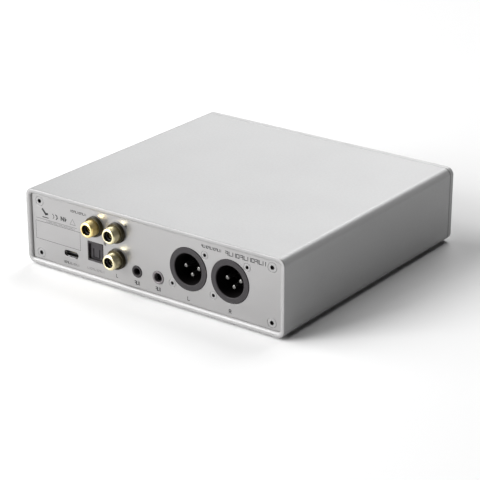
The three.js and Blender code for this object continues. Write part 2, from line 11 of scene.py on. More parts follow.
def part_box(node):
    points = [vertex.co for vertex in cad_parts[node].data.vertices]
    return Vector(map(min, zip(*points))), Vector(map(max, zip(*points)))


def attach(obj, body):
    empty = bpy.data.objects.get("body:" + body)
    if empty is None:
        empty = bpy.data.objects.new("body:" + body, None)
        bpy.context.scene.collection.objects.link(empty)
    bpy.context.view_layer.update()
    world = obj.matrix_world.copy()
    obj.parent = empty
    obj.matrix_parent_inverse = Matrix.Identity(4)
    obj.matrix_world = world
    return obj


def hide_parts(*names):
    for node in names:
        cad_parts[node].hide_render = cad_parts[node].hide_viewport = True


# A desktop audio converter, seen from its connector side. Lengths are millimetres in the packed
# model's own frame (+Y rear, +Z up), and each piece is scaled to metres as it becomes an object.
# The floor and the lights are placed in metres.

MM = 0.001
SAME_POINT = 1e-5
SMOOTH_ANGLE = math.radians(38)
ROUND_STEPS = 16  # points on a quarter of a round connector part
CORNER_STEPS = 6  # points on a quarter of a small corner

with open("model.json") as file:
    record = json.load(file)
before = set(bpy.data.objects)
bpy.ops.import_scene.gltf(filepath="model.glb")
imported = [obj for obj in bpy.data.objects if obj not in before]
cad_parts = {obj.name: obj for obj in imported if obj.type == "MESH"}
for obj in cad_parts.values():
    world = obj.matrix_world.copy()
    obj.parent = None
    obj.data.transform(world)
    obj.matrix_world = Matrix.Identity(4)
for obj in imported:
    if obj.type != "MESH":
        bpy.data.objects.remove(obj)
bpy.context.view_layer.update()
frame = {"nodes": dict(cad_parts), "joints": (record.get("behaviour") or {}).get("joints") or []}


def span(node):
    """A CAD node's lowest and highest corners, in millimetres."""
    low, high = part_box(node)
    return low / MM, high / MM


def middle(node):
    low, high = span(node)
    return (low + high) / 2


def radius_of(node):
    """The radius of a node that is round about a line along Y or Z."""
    low, high = span(node)
    return (high.x - low.x) / 2


# ---------------------------------------------------------------- outlines and profiles

class Outline(namedtuple("Outline", "x z width height radius steps")):
    """A rounded rectangle in X and Z. A circle is one whose radius is half its width."""

    def points(self, grow=0.0):
        half_w = self.width / 2 + grow
        half_h = self.height / 2 + grow
        radius = max(self.radius + grow, 0.02)
        found = []
        for quarter, (sx, sz) in enumerate(((1, 1), (-1, 1), (-1, -1), (1, -1))):
            for step in range(self.steps + 1):
                angle = math.pi / 2 * (quarter + step / self.steps)
                x = self.x + sx * (half_w - radius) + radius * math.cos(angle)
                z = self.z + sz * (half_h - radius) + radius * math.sin(angle)
                found.append((x, z))
        return found


def rectangle(x, z, width, height, radius, steps=CORNER_STEPS):
    return Outline(x, z, width, height, radius, steps)


def circle(x, z, radius, steps=ROUND_STEPS):
    return Outline(x, z, 2 * radius, 2 * radius, radius, steps)


def softened(profile, radii, closed=False, steps=3):
    """The profile with each corner rounded by its radius. The ends of an open profile stay."""
    count = len(profile)
    found = []
    for i, (corner, radius) in enumerate(zip(profile, radii)):
        is_end = not closed and i in (0, count - 1)
        if radius == 0 or is_end:
            found.append(corner)
            continue
        here = Vector(corner)
        before = Vector(profile[i - 1]) - here
        after = Vector(profile[(i + 1) % count]) - here
        back = min(radius, 0.45 * before.length)
        on = min(radius, 0.45 * after.length)
        start = here + before.normalized() * back
        end = here + after.normalized() * on
        for step in range(steps + 1):
            t = step / steps
            found.append(tuple(start * (1 - t) ** 2 + here * 2 * t * (1 - t) + end * t ** 2))
    return found


# ---------------------------------------------------------------- solids

def loft(bm, rings, ends="capped"):
    """Faces between rings of points. The two ends are capped, joined to each other, or left."""
    rows = [[bm.verts.new(point) for point in ring] for ring in rings]
    pairs = list(zip(rows, rows[1:]))
    if ends == "joined":
        pairs.append((rows[-1], rows[0]))
    count = len(rows[0])
    for first, second in pairs:
        for i in range(count):
            j = (i + 1) % count
            bm.faces.new((first[i], first[j], second[j], second[i]))
    if ends == "capped":
        bm.faces.new(rows[0])
        bm.faces.new(rows[-1][::-1])
    return rows


def ring_about(at, radius, y, sides, flats=0):
    """A ring of points about a line along Y, round or with that many flats."""
    points = []
    for i in range(sides):
        angle = 2 * math.pi * i / sides
        reach = radius
        if flats:
            wedge = 2 * math.pi / flats
            reach *= math.cos(wedge / 2) / math.cos(angle % wedge - wedge / 2)
        points.append((at.x + reach * math.cos(angle), y, at.z + reach * math.sin(angle)))
    return points


def turned(bm, profile, at, steps=ROUND_STEPS, ends="joined"):
    """A solid turned about a line along Y through a point. The profile is (radius, y) points."""
    loft(bm, [ring_about(at, radius, y, 4 * steps) for radius, y in profile], ends)


def along_y(bm, stations, ends="capped"):
    """A solid whose sections are (outline, grow, y) stations, each with as many points."""
    rings = []
    for outline, grow, y in stations:
        rings.append([(x, y, z) for x, z in outline.points(grow)])
    loft(bm, rings, ends)


def plate(bm, outlines, back, face, edge, hole_edge=0.12):
    """A flat plate from y = back to y = face. The first outline is its edge, the rest its holes."""
    caps = {back: [], face: []}
    for outline in outlines:
        is_edge = outline is outlines[0]
        soft = edge if is_edge else hole_edge
        side = -1 if is_edge else 1
        profile = softened([(soft * 2, back), (0, back), (0, face), (soft * 2, face)], [soft] * 4)
        rings = []
        for inset, y in profile[1:-1]:
            points = outline.points(side * inset)
            following = points[1:] + points[:1]
            kept = [p for p, q in zip(points, following) if math.dist(p, q) > SAME_POINT]
            rings.append([(x, y, z) for x, z in kept])
        rows = loft(bm, rings, ends="open")
        caps[back].append(rows[0])
        caps[face].append(rows[-1])
    for rows in caps.values():
        loops = [[Vector((v.co.x, v.co.z, 0)) for v in row] for row in rows]
        verts = [v for row in rows for v in row]
        for triangle in tessellate_polygon(loops):
            bm.faces.new([verts[i] for i in triangle])


def block(bm, low, high, edge=0.15):
    """A box with rounded edges."""
    made = bmesh.ops.create_cube(bm, size=1)
    for vert in made["verts"]:
        vert.co = Vector(h if c > 0 else l for c, l, h in zip(vert.co, low, high))
    edges = {e for v in made["verts"] for e in v.link_edges}
    bmesh.ops.bevel(bm, geom=list(edges), offset=edge, segments=2, affect="EDGES", profile=0.5)


def boolean(base, tool, operation):
    """The solid base joined with, or cut by, the solid tool. Both are used up."""
    objects = []
    for bm in (base, tool):
        tidy(bm)
        mesh = bpy.data.meshes.new("operand")
        bm.to_mesh(mesh)
        bm.free()
        obj = bpy.data.objects.new("operand", mesh)
        bpy.context.scene.collection.objects.link(obj)
        objects.append(obj)
    step = objects[0].modifiers.new("boolean", "BOOLEAN")
    step.operation = operation
    step.solver = "EXACT"
    step.object = objects[1]
    evaluated = objects[0].evaluated_get(bpy.context.evaluated_depsgraph_get())
    result = bmesh.new()
    result.from_mesh(evaluated.to_mesh())
    for obj in objects:
        bpy.data.objects.remove(obj)
    return result


def tidy(bm):
    bmesh.ops.remove_doubles(bm, verts=bm.verts, dist=SAME_POINT)
    bmesh.ops.dissolve_degenerate(bm, edges=bm.edges, dist=SAME_POINT)
    bmesh.ops.recalc_face_normals(bm, faces=bm.faces)


def piece(name, bm, looks, nodes=(), body="case"):
    """The mesh as an object on a CAD body, in one look or a list of them, standing for the CAD nodes."""
    looks = looks if isinstance(looks, list) else [looks]
    tidy(bm)
    bmesh.ops.scale(bm, vec=(MM, MM, MM), verts=bm.verts)
    for edge in bm.edges:
        edge.smooth = edge.is_manifold and edge.calc_face_angle() < SMOOTH_ANGLE
    for face in bm.faces:
        face.smooth = True
    mesh = bpy.data.meshes.new(name)
    bm.to_mesh(mesh)
    bm.free()
    for finish in looks:
        mesh.materials.append(finish.material)
    obj = bpy.data.objects.new(name, mesh)
    bpy.context.scene.collection.objects.link(obj)
    weighted = obj.modifiers.new("flat_faces_stay_flat", "WEIGHTED_NORMAL")
    weighted.keep_sharp = True
    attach(obj, body)
    if nodes:
        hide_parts(*nodes)
    return obj


# ---------------------------------------------------------------- materials

CLOUD_SIZE = 38  # millimetres
BUMP_STRENGTH = 0.6
NOISE_LOW, NOISE_HIGH = 0.3, 0.7  # most of a noise's values lie between these

Look = namedtuple("Look", "material slot")


def shader_tree(name):
    material = bpy.data.materials.new(name)
    material.use_nodes = True
    return material, material.node_tree, material.node_tree.nodes["Principled BSDF"]


def noise(tree, size, detail, stretch=(1, 1, 1)):
    """A noise over the object's own coordinates with features of about size millimetres."""
    place = tree.nodes.new("ShaderNodeTexCoord")
    scale = tree.nodes.new("ShaderNodeMapping")
    scale.inputs["Scale"].default_value = [1 / (size * MM * s) for s in stretch]
    texture = tree.nodes.new("ShaderNodeTexNoise")
    texture.inputs["Scale"].default_value = 1
    texture.inputs["Detail"].default_value = detail
    tree.links.new(place.outputs["Object"], scale.inputs["Vector"])
    tree.links.new(scale.outputs["Vector"], texture.inputs["Vector"])
    return texture.outputs["Fac"]


def mapped(tree, value, low, high):
    """A noise value, spread from low to high."""
    spread = tree.nodes.new("ShaderNodeMapRange")
    spread.inputs["From Min"].default_value = NOISE_LOW
    spread.inputs["From Max"].default_value = NOISE_HIGH
    spread.inputs["To Min"].default_value = low
    spread.inputs["To Max"].default_value = high
    tree.links.new(value, spread.inputs["Value"])
    return spread.outputs["Result"]


def blended(tree, factor, first, second):
    """A mix of two colours, each a constant or a socket."""
    mix = tree.nodes.new("ShaderNodeMix")
    mix.data_type = "RGBA"
    # The node's colour sockets are inputs 6 and 7 and output 2.
    for socket, value in ((mix.inputs[6], first), (mix.inputs[7], second)):
        if isinstance(value, (tuple, list)):
            socket.default_value = (*value, 1)
        else:
            tree.links.new(value, socket)
    tree.links.new(factor, mix.inputs[0])
    return mix.outputs[2]


def shade(color, amount):
    return tuple(min(1.0, c * amount) for c in color)


def look(slot, color, rough, metallic=0.0, grain=0.3, speck=0.05, cloud=0.03, depth=0.004, sheen=0.12,
         stretch=(1, 1, 1), name=None, **sockets):
    """A finish. Its colour drifts in clouds and specks, its roughness varies by the share sheen, and
    a fine grain of grain millimetres across and depth millimetres high roughens it."""
    material, tree, surface = shader_tree(name or slot)
    clouds = noise(tree, CLOUD_SIZE, 2)
    specks = noise(tree, grain, 2, stretch)
    drift = blended(tree, mapped(tree, clouds, 0, 1), shade(color, 1 - cloud), shade(color, 1 + cloud))
    dark = blended(tree, mapped(tree, clouds, 0, 1), shade(color, 1 - cloud - speck),
                   shade(color, 1 - speck))
    tree.links.new(blended(tree, mapped(tree, specks, 0, 1), dark, drift), surface.inputs["Base Color"])
    smears = noise(tree, grain * 4, 4, stretch)
    gloss = mapped(tree, smears, rough * (1 - sheen), min(1.0, rough * (1 + sheen)))
    tree.links.new(gloss, surface.inputs["Roughness"])
    surface.inputs["Metallic"].default_value = metallic
    for socket, value in sockets.items():
        surface.inputs[socket.replace("_", " ")].default_value = value
    bump = tree.nodes.new("ShaderNodeBump")
    bump.inputs["Strength"].default_value = BUMP_STRENGTH
    bump.inputs["Distance"].default_value = depth * MM
    tree.links.new(specks, bump.inputs["Height"])
    tree.links.new(bump.outputs["Normal"], surface.inputs["Normal"])
    return Look(material, slot)


SILVER = look("silver_anodised", (0.325, 0.325, 0.327), 0.42, 0.3, grain=0.28, speck=0.02)
PANEL = look("silver_anodised", (0.365, 0.36, 0.36), 0.28, 0.8, speck=0.01, depth=0.0001, sheen=0.02,
             name="panel_anodised")
EDGE_METAL = look("silver_anodised", (0.34, 0.337, 0.337), 0.5, 0.32, grain=0.2, speck=0.015, depth=0.001,
                  name="machined_edge")
SCREW = look("screw_metal", (0.3, 0.297, 0.297), 0.45, 0.1, grain=0.15)
# Near black for the screws' hexagon sockets, painted as the shade in those recesses.
SOCKET_SHADE = look("screw_metal", (0.02, 0.02, 0.02), 0.5, 0.2, grain=0.15, name="screw_socket_painted_shade")
RUBBER = look("rubber", (0.025, 0.025, 0.027), 0.75, grain=0.25, depth=0.02)
CHARCOAL = look("charcoal_plastic", (0.034, 0.031, 0.033), 0.5, grain=0.22, speck=0.12, depth=0.008,
                Specular_IOR_Level=0.25)
# Near black, painted into the insides of cups, bores and grooves as the shade that falls in those hollows.
HOLLOW_SHADE = look("charcoal_plastic", (0.006, 0.005, 0.005), 0.45, name="socket_interior_painted_shade",
           Specular_IOR_Level=0.2)
SHUTTER = look("charcoal_plastic", (0.034, 0.031, 0.034), 0.4, grain=0.2, speck=0.1,
               name="shutter_plastic", Specular_IOR_Level=0.3)
PIN = look("contact_metal", (0.2, 0.197, 0.19), 0.34, 1.0, grain=0.1, speck=0.03)
# Dark plastic, with a warm olive tint painted in as the gold barrel's reflection on it.
COLLAR = look("black_plastic", (0.04, 0.032, 0.014), 0.45, grain=0.2, speck=0.1, depth=0.003,
              name="rca_moulding_gold_reflection", Specular_IOR_Level=0.2)
BLACK = look("black_plastic", (0.012, 0.012, 0.011), 0.22, grain=0.2, speck=0.1, depth=0.003)
GOLD = look("gold", (0.88, 0.7, 0.33), 0.42, 1.0, grain=0.12, speck=0.04, depth=0.001)
PALE_GOLD = look("gold", (0.76, 0.69, 0.45), 0.42, 1.0, grain=0.12, speck=0.04, depth=0.001,
                 name="pale_gold")
STEEL = look("steel", (0.42, 0.42, 0.43), 0.3, 1.0, grain=0.1, stretch=(1, 8, 1))
JACK = look("jack_metal", (0.17, 0.155, 0.162), 0.42, 0.5, grain=0.1)
BOARD = look("circuit_board", (0.012, 0.075, 0.035), 0.35, grain=0.8, speck=0.25)
CHIP = look("component_black", (0.02, 0.02, 0.021), 0.5, grain=0.15, speck=0.15, depth=0.008)
CAN = look("can_silver", (0.6, 0.6, 0.61), 0.28, 0.9, grain=0.12, stretch=(1, 1, 6))
BRACKET = look("bracket_metal", (0.42, 0.43, 0.44), 0.4, 0.9, grain=0.15, stretch=(8, 1, 1))
GLASS = look("display_glass", (0.004, 0.005, 0.006), 0.06, grain=0.5, speck=0.2, depth=0.0002,
             Coat_Weight=0.6, Coat_Roughness=0.03)
RIBBON = look("ribbon_film", (0.55, 0.24, 0.04), 0.3, stretch=(0.4, 6, 6))
INK = look("silver_anodised", (0.02, 0.02, 0.021), 0.6, grain=0.12, speck=0.2, name="printed_ink")
PALE_INK = look("silver_anodised", (0.17, 0.17, 0.17), 0.6, grain=0.12, speck=0.1,
                name="pale_printed_ink")

# ---------------------------------------------------------------- what the frame says

CHANNELS = ("left", "right")
RCA_USES = ("coaxial", "right", "left")
JACKS = ("jack_3_5", "jack_4_4")
CORNERS = (1, 2, 3, 4)
XLR_RING_R = 11.1
COLLAR_R = 5.2  # of the RCA moulding
OPTICAL_H = 10.4  # height of the optical socket's frame

case_low = Vector(map(min, span("case_sleeve")[0], span("front_fascia")[0]))
case_high = Vector(map(max, span("case_sleeve")[1], span("front_fascia")[1]))
case_size = case_high - case_low
CASE = (case_low + case_high) / 2  # the middle of the case
CORNER_R = 4
EDGE = 0.4  # rounding of the sleeve's front edge and of the fascia
WALL = 2.75
REAR_LIP = 1.1  # from the sleeve's outside to the start of its rounded mouth
REAR_EDGE = 0.6  # rounding of the sleeve's rear edge
MOUTH_STEPS = 8
SEAM = 0.04  # between the rear panel and the sleeve
HOLE_GAP = 0.1  # round what passes through the rear panel
panel_low, panel_high = span("rear_panel")
PANEL_FACE = panel_high.y
SOCKET_NECK = PANEL_FACE - 2.3  # where a socket's square body meets its front
BOSS_R = 3.3
BOSS_BORE_R = 1.65
BOSS_GAP = 0.3


def xlr_centre(channel):
    """Between the two level pins, on the panel's face."""
    first, second = (middle(f"xlr_{channel}_pin_{i}") for i in (1, 2))
    return Vector(((first.x + second.x) / 2, PANEL_FACE, first.z))


def optical_centre():
    high = span("optical_housing")[1]
    return Vector((middle("optical_housing").x, PANEL_FACE, high.z - OPTICAL_H / 2))


# ---------------------------------------------------------------- case

def screw_boss(corner):
    """The boss that a rear panel screw goes into, reaching to the middle of the sleeve's wall."""
    at = middle(f"rear_panel_screw_{corner}")
    side = 1 if at.z > CASE.z else -1
    wall = CASE.z + side * (case_size.z / 2 - WALL / 2)
    front = span("front_bracket")[1].y + BOSS_GAP
    rear = panel_low.y - BOSS_GAP
    outer = rectangle(at.x, (at.z - side * BOSS_R + wall) / 2, 2 * BOSS_R, abs(wall - at.z) + BOSS_R,
                      BOSS_R - 0.1)
    boss = bmesh.new()
    plate(boss, [outer, circle(at.x, at.z, BOSS_BORE_R, 8)], front, rear, 0.2)
    return boss


def case_sleeve():
    """The extruded sleeve, its machined mouth round the rear panel and its four screw bosses."""
    low, high = span("case_sleeve")
    mouth = []
    for step in range(MOUTH_STEPS + 1):
        turn = math.pi / 2 * (1 - step / MOUTH_STEPS)
        inset = WALL - (WALL - REAR_LIP) * (1 - math.cos(turn))
        mouth.append((inset, PANEL_FACE + (high.y - PANEL_FACE) * math.sin(turn)))
    corners = [(0, low.y), (0, high.y), *mouth, (WALL, low.y)]
    radii = [EDGE, REAR_EDGE, *[0] * len(mouth), 0.15]
    profile = softened(corners, radii, closed=True, steps=4)
    outline = rectangle(CASE.x, CASE.z, case_size.x, case_size.z, CORNER_R, steps=10)
    bm = bmesh.new()
    along_y(bm, [(outline, -inset, y) for inset, y in profile], ends="joined")
    for corner in CORNERS:
        bm = boolean(bm, screw_boss(corner), "UNION")
    for f in bm.faces:
        f.material_index = 1 if f.calc_center_median().y > PANEL_FACE else 0
    piece("case_sleeve_shell", bm, [SILVER, EDGE_METAL], ["case_sleeve"])


def hole_for(node, steps=ROUND_STEPS):
    """A round hole about a node that leaves a gap all round it."""
    low, high = span(node)
    return circle((low.x + high.x) / 2, (low.z + high.z) / 2, radius_of(node) + HOLE_GAP, steps)


def rear_panel():
    """The plate with a hole for each socket and screw."""
    bore_w, bore_h = case_size.x - 2 * WALL, case_size.z - 2 * WALL
    edge = rectangle(CASE.x, CASE.z, bore_w - 2 * SEAM, bore_h - 2 * SEAM, CORNER_R - WALL - SEAM)
    outlines = [edge]
    optical = optical_centre()
    optical_low, optical_high = span("optical_housing")
    optical_w = optical_high.x - optical_low.x + 2 * HOLE_GAP
    outlines.append(rectangle(optical.x, optical.z, optical_w, OPTICAL_H + 2 * HOLE_GAP, 0.4))
    usb_low, usb_high = span("usb_c_shell")
    usb = (usb_low + usb_high) / 2
    usb_gap = 0.2
    usb_w = usb_high.x - usb_low.x + 2 * usb_gap
    usb_h = usb_high.z - usb_low.z + 2 * usb_gap
    outlines.append(rectangle(usb.x, usb.z, usb_w, usb_h, usb_h / 2 - 0.05, steps=8))
    for name in JACKS:
        outlines.append(hole_for(f"{name}_ring"))
    for use in RCA_USES:
        shell = middle(f"rca_{use}_shell")
        outlines.append(circle(shell.x, shell.z, COLLAR_R + HOLE_GAP))
    for channel in CHANNELS:
        centre = xlr_centre(channel)
        outlines.append(circle(centre.x, centre.z, XLR_RING_R + 0.12, 24))
        for i in (1, 2):
            outlines.append(hole_for(f"xlr_{channel}_screw_{i}", 8))
    for i in CORNERS:
        outlines.append(hole_for(f"rear_panel_screw_{i}", 8))
    bm = bmesh.new()
    plate(bm, outlines, panel_low.y, PANEL_FACE, edge=0.15, hole_edge=0.08)
    piece("rear_panel_plate", bm, PANEL, ["rear_panel"])


def screw(node, facing=1):
    """Countersunk screw with a rounded head rim and a hexagon socket. It faces +Y or -Y."""
    low, high = span(node)
    at, head = middle(node), radius_of(node)
    face, tip = (high.y, low.y) if facing > 0 else (low.y, high.y)
    shank, hexagon = head * 0.58, head * 0.47
    socket, chamfer = hexagon * 0.95, hexagon * 1.06
    deep, cone_h, chamfer_h = 1.2, 0.15, 0.1
    rim_h, head_h, point = 0.35, 1.5, 0.4
    sides = 24
    rings = [
        ring_about(at, 0, face - facing * (deep + cone_h), sides),
        ring_about(at, socket, face - facing * deep, sides, flats=6),
        ring_about(at, socket, face - facing * chamfer_h, sides, flats=6),
        ring_about(at, chamfer, face, sides, flats=6),
    ]
    rim = softened([(0, 0), (head, 0), (head, -rim_h), (shank, -head_h)], [0, 0.2, 0.1, 0])[1:]
    for radius, y in rim:
        rings.append(ring_about(at, radius, face + facing * y, sides))
    rings.append(ring_about(at, shank, tip + facing * point, sides))
    rings.append(ring_about(at, shank - point, tip, sides))
    rings.append(ring_about(at, 0, tip, sides))
    bm = bmesh.new()
    rows = loft(bm, rings, ends="open")
    # The socket's faces take the near-black finish, as painted shade in the recess.
    socket_verts = {v for row in rows[:3] for v in row}
    for f in bm.faces:
        f.material_index = 1 if socket_verts & set(f.verts) else 0
    piece(f"{node}_fine", bm, [SCREW, SOCKET_SHADE], [node])


def foot(node):
    """Round rubber foot with a chamfered tread."""
    low, high = span(node)
    at, radius, height = middle(node), radius_of(node), high.z - low.z
    chamfer_w, chamfer_h, sides = 0.8, 0.35, 64
    corners = [(0, 0), (radius - chamfer_w, 0), (radius, chamfer_h), (radius, height), (0, height)]
    profile = softened(corners, [0, 0.3, 0.25, 0.15, 0])
    bm = bmesh.new()
    rings = []
    for reach, up in profile:
        ring = ring_about(Vector((at.x, 0, at.y)), reach, low.z + up, sides)
        rings.append([(x, y, z) for x, z, y in ring])
    loft(bm, rings, ends="open")
    piece(f"{node}_fine", bm, RUBBER, [node])


# ---------------------------------------------------------------- XLR sockets

CUP_R = 8.1
CUP_DEEP = 13
RING_PROUD = 0.4


def xlr(channel):
    """Flange ring and cup, on a square body behind the panel, with its pins."""
    housing = f"xlr_{channel}_housing"
    low, high = span(housing)
    at = xlr_centre(channel)
    steps = 20
    body = rectangle(at.x, (low.z + high.z) / 2, high.x - low.x, high.z - low.z, 1, steps)
    ring = circle(at.x, at.z, XLR_RING_R, steps)
    cup = circle(at.x, at.z, CUP_R, steps)
    face = at.y + RING_PROUD
    stations = [
        (body, -0.3, low.y),
        (body, 0, low.y + 0.3),
        (body, 0, SOCKET_NECK),
        (ring, 0, SOCKET_NECK),
        (ring, 0, face - 0.18),
        (ring, -0.05, face - 0.06),
        (ring, -0.18, face),
        (cup, 0.42, face),
        (cup, 0.26, face - 0.04),
        (cup, 0.1, face - 0.2),
        (cup, 0, face - 0.55),
        (cup, 0, at.y - CUP_DEEP),
    ]
    bm = bmesh.new()
    along_y(bm, stations)
    tidy(bm)
    # The cup's walls and floor take the near-black finish, as painted shade inside the cup.
    for f in bm.faces:
        here = f.calc_center_median()
        in_cup = math.hypot(here.x - at.x, here.z - at.z) < CUP_R + 0.04 and here.y > low.y + 0.5
        f.material_index = 1 if in_cup else 0
    piece(f"{housing}_fine", bm, [CHARCOAL, HOLLOW_SHADE], [housing])
    for i in (1, 2, 3):
        contact_pin(f"xlr_{channel}_pin_{i}")


def contact_pin(node):
    """Round pin with a domed tip."""
    low, high = span(node)
    radius = radius_of(node)
    corners = [(0, low.y), (radius, low.y), (radius, high.y), (0, high.y)]
    profile = softened(corners, [0, 0.2, radius * 0.95, 0], steps=6)
    bm = bmesh.new()
    turned(bm, profile, middle(node), steps=8, ends="open")
    piece(f"{node}_fine", bm, PIN, [node])


# ---------------------------------------------------------------- RCA sockets

def rca_shell(node, gold):
    """Barrel with a rounded nose."""
    low, high = span(node)
    outer = radius_of(node)
    inner, front_r, rim = outer - 0.6, 2.75, 0.4
    nose_w, nose_l, nose_steps = 1.0, 1.2, 8
    corners = [(inner, low.y), (outer, low.y)]
    for step in range(nose_steps + 1):
        turn = math.pi / 2 * step / nose_steps
        corners.append((outer - nose_w * (1 - math.cos(turn)), high.y - nose_l * (1 - math.sin(turn))))
    corners += [(front_r, high.y), (front_r, high.y - rim), (inner, high.y - nose_l)]
    radii = [0.1, 0.1, *[0] * (nose_steps + 1), 0.15, 0.1, 0.1]
    bm = bmesh.new()
    turned(bm, softened(corners, radii, closed=True), middle(node))
    piece(f"{node}_fine", bm, gold, [node])


def rca_contact(node, at, gold):
    """Centre contact with a blind bore for the plug's pin."""
    low, high = span(node)
    outer, bore, blind = radius_of(node), 1.65, low.y + 2.6
    corners = [(0, low.y), (outer, low.y), (outer, high.y), (bore, high.y), (bore, blind), (0, blind)]
    bm = bmesh.new()
    turned(bm, softened(corners, [0, 0.15, 0.2, 0.3, 0.1, 0]), at, steps=10, ends="open")
    piece(f"{node}_fine", bm, gold, [node])


def rca_body(node, at, shell_r, contact_r):
    """Moulding with a square back, a collar, a slot for the shell and a hollow core inside it."""
    low, high = span(node)
    core_r, mouth_r = 3.2, 1.8
    slot_floor, collar_face = PANEL_FACE - 9, PANEL_FACE + 2
    lip, blind = high.y - 1.3, low.y + 3.1
    back = rectangle(at.x, at.z, high.x - low.x, high.z - low.z, 0.8, ROUND_STEPS)
    ring = circle(at.x, at.z, COLLAR_R)
    slot = circle(at.x, at.z, shell_r + 0.15)
    core = circle(at.x, at.z, core_r)
    mouth = circle(at.x, at.z, mouth_r)
    bore = circle(at.x, at.z, contact_r + 0.15)
    stations = [
        (back, -0.3, low.y),
        (back, 0, low.y + 0.3),
        (back, 0, SOCKET_NECK),
        (ring, 0, SOCKET_NECK),
        (ring, 0, collar_face - 0.3),
        (ring, -0.08, collar_face - 0.1),
        (ring, -0.3, collar_face),
        (slot, 0.15, collar_face),
        (slot, 0, collar_face - 0.15),
        (slot, 0, slot_floor),
        (core, 0, slot_floor),
        (core, 0, high.y - 0.25),
        (core, -0.08, high.y - 0.08),
        (core, -0.25, high.y),
        (mouth, 0.35, high.y),
        (mouth, 0.1, high.y - 0.12),
        (mouth, 0, high.y - 0.4),
        (mouth, 0, lip),
        (bore, 0, lip),
        (bore, 0, blind),
    ]
    bm = bmesh.new()
    along_y(bm, stations)
    # The hollow core takes the near-black finish, as painted shade inside the moulding.
    for f in bm.faces:
        here = f.calc_center_median()
        inside = math.hypot(here.x - at.x, here.z - at.z) < core_r + 0.01 and here.y > slot_floor
        f.material_index = 1 if inside else 0
    piece(f"{node}_fine", bm, [COLLAR, HOLLOW_SHADE], [node])


def rca(use, gold):
    """Gold barrel and centre contact in a glossy moulded body."""
    shell, contact, body = (f"rca_{use}_{part}" for part in ("shell", "contact", "body"))
    at = middle(shell)
    rca_shell(shell, gold)
    rca_contact(contact, at, gold)
    rca_body(body, at, radius_of(shell), radius_of(contact))


# ---------------------------------------------------------------- optical socket

PORT_W = 8.4
PORT_DEEP = 12.5


def optical_housing():
    """Square frame round a deep port, on a taller body behind the panel."""
    at = optical_centre()
    low, high = span("optical_housing")
    width = high.x - low.x
    rim = rectangle(at.x, at.z, width, OPTICAL_H, 0.5)
    stem = rectangle(at.x, (low.z + high.z) / 2, width, high.z - low.z, 0.5)
    port = rectangle(at.x, at.z, PORT_W, PORT_W, 0.8)
    stations = [
        (stem, -0.2, low.y),
        (stem, 0, low.y + 0.2),
        (stem, 0, SOCKET_NECK),
        (rim, 0, SOCKET_NECK),
        (rim, 0, high.y - 0.15),
        (rim, -0.15, high.y),
        (port, 0.3, high.y),
        (port, 0.08, high.y - 0.12),
        (port, 0, high.y - 0.4),
        (port, 0, PANEL_FACE - PORT_DEEP),
    ]
    bm = bmesh.new()
    along_y(bm, stations)
    piece("optical_housing_fine", bm, CHARCOAL, ["optical_housing"])


def optical_shutter():
    """Flap with a U-shaped groove in its face, on a rod along X through its hinge."""
    low, high = span("optical_shutter")
    x = (low.x + high.x) / 2
    flap_w, thickness, soft = 8.0, 0.8, 0.12
    hinge = next(joint for joint in frame["joints"] if joint["name"] == "shutter_hinge")
    pivot = Vector(hinge["pos_m"]) / MM
    face, back = pivot.y + thickness / 2, pivot.y - thickness / 2
    flap = rectangle(x, (low.z + high.z) / 2, flap_w, high.z - low.z, 0.6)
    bm = bmesh.new()
    along_y(bm, [(flap, -soft, back), (flap, 0, back + soft), (flap, 0, face - soft), (flap, -soft, face)])
    reach, line, deep = 2.25, 0.6, 0.45  # the groove's half width, line width and depth
    groove_low, groove_top = low.z + 0.45, optical_centre().z + 1.5
    for left, right, top in (
        (-reach, -reach + line, groove_top),
        (reach - line, reach, groove_top),
        (-reach, reach, groove_low + line),
    ):
        groove = bmesh.new()
        block(groove, (x + left, face - deep, groove_low), (x + right, face + 1, top), 0.04)
        bm = boolean(bm, groove, "DIFFERENCE")
    rod_r, rod_end_r, chamfer = 0.44, 0.3, 0.15
    rod = bmesh.new()
    rings = []
    for along, radius in (
        (low.x, rod_end_r),
        (low.x + chamfer, rod_r),
        (high.x - chamfer, rod_r),
        (high.x, rod_end_r),
    ):
        ring = ring_about(Vector((pivot.y, 0, pivot.z)), radius, along, 24)
        rings.append([(px, py, pz) for py, px, pz in ring])
    loft(rod, rings)
    bm = boolean(bm, rod, "UNION")
    # The groove's floor takes the near-black finish, as painted shade in the groove.
    for f in bm.faces:
        f.material_index = 1 if abs(f.calc_center_median().y - (face - deep)) < 0.05 else 0
    piece("optical_shutter_fine", bm, [SHUTTER, HOLLOW_SHADE], ["optical_shutter"], body="shutter")


# ---------------------------------------------------------------- USB-C socket and jacks

def usb_c_shell():
    """Thin rounded shell, open at both ends."""
    low, high = span("usb_c_shell")
    at = (low + high) / 2
    wall = 0.3
    width, height = high.x - low.x, high.z - low.z
    outer = rectangle(at.x, at.z, width, height, height / 2 - 0.05, steps=10)
    mouth = rectangle(at.x, at.z, width - 2 * wall, height - 2 * wall, height / 2 - wall - 0.05, steps=10)
    bm = bmesh.new()
    along_y(bm, [
        (outer, 0, low.y),
        (outer, 0, high.y - 0.1),
        (outer, -0.1, high.y),
        (mouth, 0.1, high.y),
        (mouth, 0, high.y - 0.15),
        (mouth, 0, low.y),
    ], ends="joined")
    piece("usb_c_shell_fine", bm, STEEL, ["usb_c_shell"])


